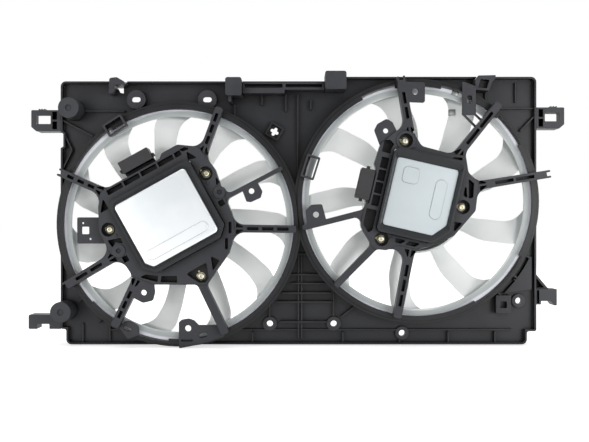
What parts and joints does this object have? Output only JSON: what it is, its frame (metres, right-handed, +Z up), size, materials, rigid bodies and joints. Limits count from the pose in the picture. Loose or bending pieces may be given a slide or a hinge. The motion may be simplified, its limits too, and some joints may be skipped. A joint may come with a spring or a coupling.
{
  "type": "radiator cooling fan",
  "caption": "Twin electric radiator cooling fan: black ribbed shroud with two ducts, each with a spoke-mounted motor that spins a banded, swept-blade fan.",
  "frame": {"origin": "midway between the two fan axes, in the plane of the shroud rim that seats on the radiator", "axes": "+X to the right and +Z up as seen from the engine side, +Y towards the radiator along the fan axes"},
  "size_m": [0.7105, 0.0951, 0.3596],
  "materials": {
    "bearing_steel": "ground steel",
    "bell_steel": "drawn zinc-plated steel",
    "bright_cover": "bright rolled aluminium",
    "circuit_board": "solder-masked board",
    "connector_plastic": "satin",
    "copper_wire": "enamelled copper wire",
    "core_steel": "stacked steel sheet",
    "fan_plastic": "milky natural polypropylene",
    "gasket_rubber": "matt",
    "grey_cover": "matt rolled aluminium",
    "housing_plastic": "fine satin",
    "magnet_ferrite": "sintered ferrite",
    "plain_zinc": "zinc plate",
    "shaft_steel": "ground steel",
    "shroud_plastic": "satin moulded glass-filled nylon",
    "yellow_zinc": "yellow-passivated zinc plate"
  },
  "bodies": {
    "shroud": {"left_bearings": "bearing_steel", "left_box_clip": "shroud_plastic", "left_circuit_board": "circuit_board", "left_connector": "connector_plastic", "left_cover_gasket": "gasket_rubber", "left_cover_plate": "bright_cover", "left_duct_ring": "shroud_plastic", "left_hose_hook": "shroud_plastic", "left_motor_frame": "shroud_plastic", "left_motor_housing": "housing_plastic", "left_stator_core": "core_steel", "left_stator_spokes": "shroud_plastic", "left_windings": "copper_wire", "left_wire_clip": "shroud_plastic", "lower_cable_plate": "shroud_plastic", "lower_left_hook": "shroud_plastic", "lower_right_hook": "shroud_plastic", "motor_screws": "yellow_zinc", "right_bearings": "bearing_steel", "right_box_clip": "shroud_plastic", "right_circuit_board": "circuit_board", "right_connector": "connector_plastic", "right_cover_gasket": "gasket_rubber", "right_cover_plate": "grey_cover", "right_duct_ring": "shroud_plastic", "right_hose_hook": "shroud_plastic", "right_motor_frame": "shroud_plastic", "right_motor_housing": "housing_plastic", "right_stator_core": "core_steel", "right_stator_spokes": "shroud_plastic", "right_windings": "copper_wire", "right_wire_clip": "shroud_plastic", "screw_bosses": "shroud_plastic", "shroud_panel": "shroud_plastic", "side_tab": "shroud_plastic", "slot_plate": "shroud_plastic", "slotted_bosses": "shroud_plastic", "tall_posts": "shroud_plastic", "top_rail": "shroud_plastic", "upper_left_bracket": "shroud_plastic", "upper_right_bracket": "shroud_plastic"},
    "left_fan": {"left_fan": "fan_plastic", "left_hub_screws": "plain_zinc", "left_magnets": "magnet_ferrite", "left_rotor_bell": "bell_steel", "left_shaft": "shaft_steel"},
    "right_fan": {"right_fan": "fan_plastic", "right_hub_screws": "plain_zinc", "right_magnets": "magnet_ferrite", "right_rotor_bell": "bell_steel", "right_shaft": "shaft_steel"}
  },
  "joints": [
    {"name": "left_fan_spin", "type": "hinge", "parent": "shroud", "child": "left_fan", "pos_m": [-0.155, -0.04, -0.015], "axis": [0, -1, 0], "continuous": true},
    {"name": "right_fan_spin", "type": "hinge", "parent": "shroud", "child": "right_fan", "pos_m": [0.155, -0.04, 0.015], "axis": [0, -1, 0], "continuous": true}
  ]
}
